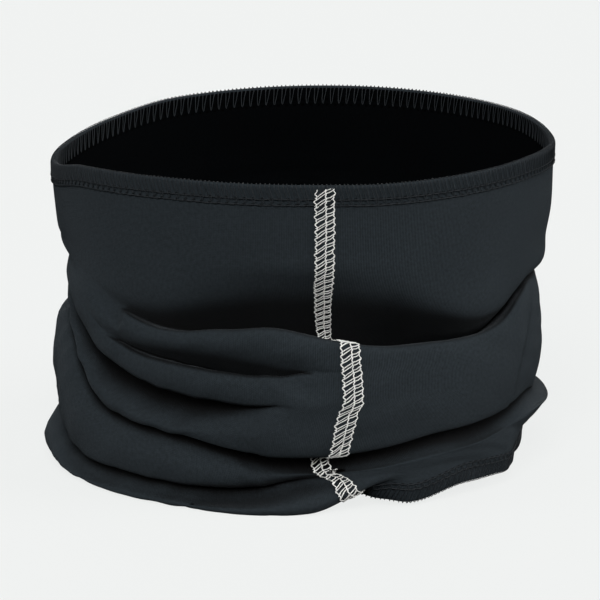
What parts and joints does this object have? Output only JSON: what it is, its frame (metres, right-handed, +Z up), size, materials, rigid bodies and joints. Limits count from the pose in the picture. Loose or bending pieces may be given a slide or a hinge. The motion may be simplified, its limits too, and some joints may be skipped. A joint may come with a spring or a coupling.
{
  "type": "neck gaiter",
  "caption": "Knitted neck gaiter: an open stretch tube worn round the neck, standing slumped into soft folds, with a flat seam and overlocked edges.",
  "frame": {"origin": "on the ground under the middle of the tube", "axes": "+Z up, out of the worn opening; -Y towards the flat seam at the front; +X to the right, across the wide side of the tube"},
  "size_m": [0.177, 0.1631, 0.113],
  "materials": {
    "charcoal_knit": "matte brushed stretch knit with fine vertical wales",
    "charcoal_thread": "matte textured sewing thread",
    "white_thread": "soft lustrous textured sewing thread"
  },
  "bodies": {
    "root": {"body_panel": "charcoal_knit", "seam_needle_thread_left": "white_thread", "seam_needle_thread_centre": "white_thread", "seam_needle_thread_right": "white_thread", "seam_cover_thread": "white_thread", "seam_looper_thread": "white_thread", "top_upper_looper_thread": "charcoal_thread", "top_lower_looper_thread": "charcoal_thread", "top_needle_thread_1": "charcoal_thread", "top_needle_thread_2": "charcoal_thread", "hem_upper_looper_thread": "charcoal_thread", "hem_lower_looper_thread": "charcoal_thread", "hem_needle_thread_1": "charcoal_thread", "hem_needle_thread_2": "charcoal_thread"}
  },
  "joints": []
}
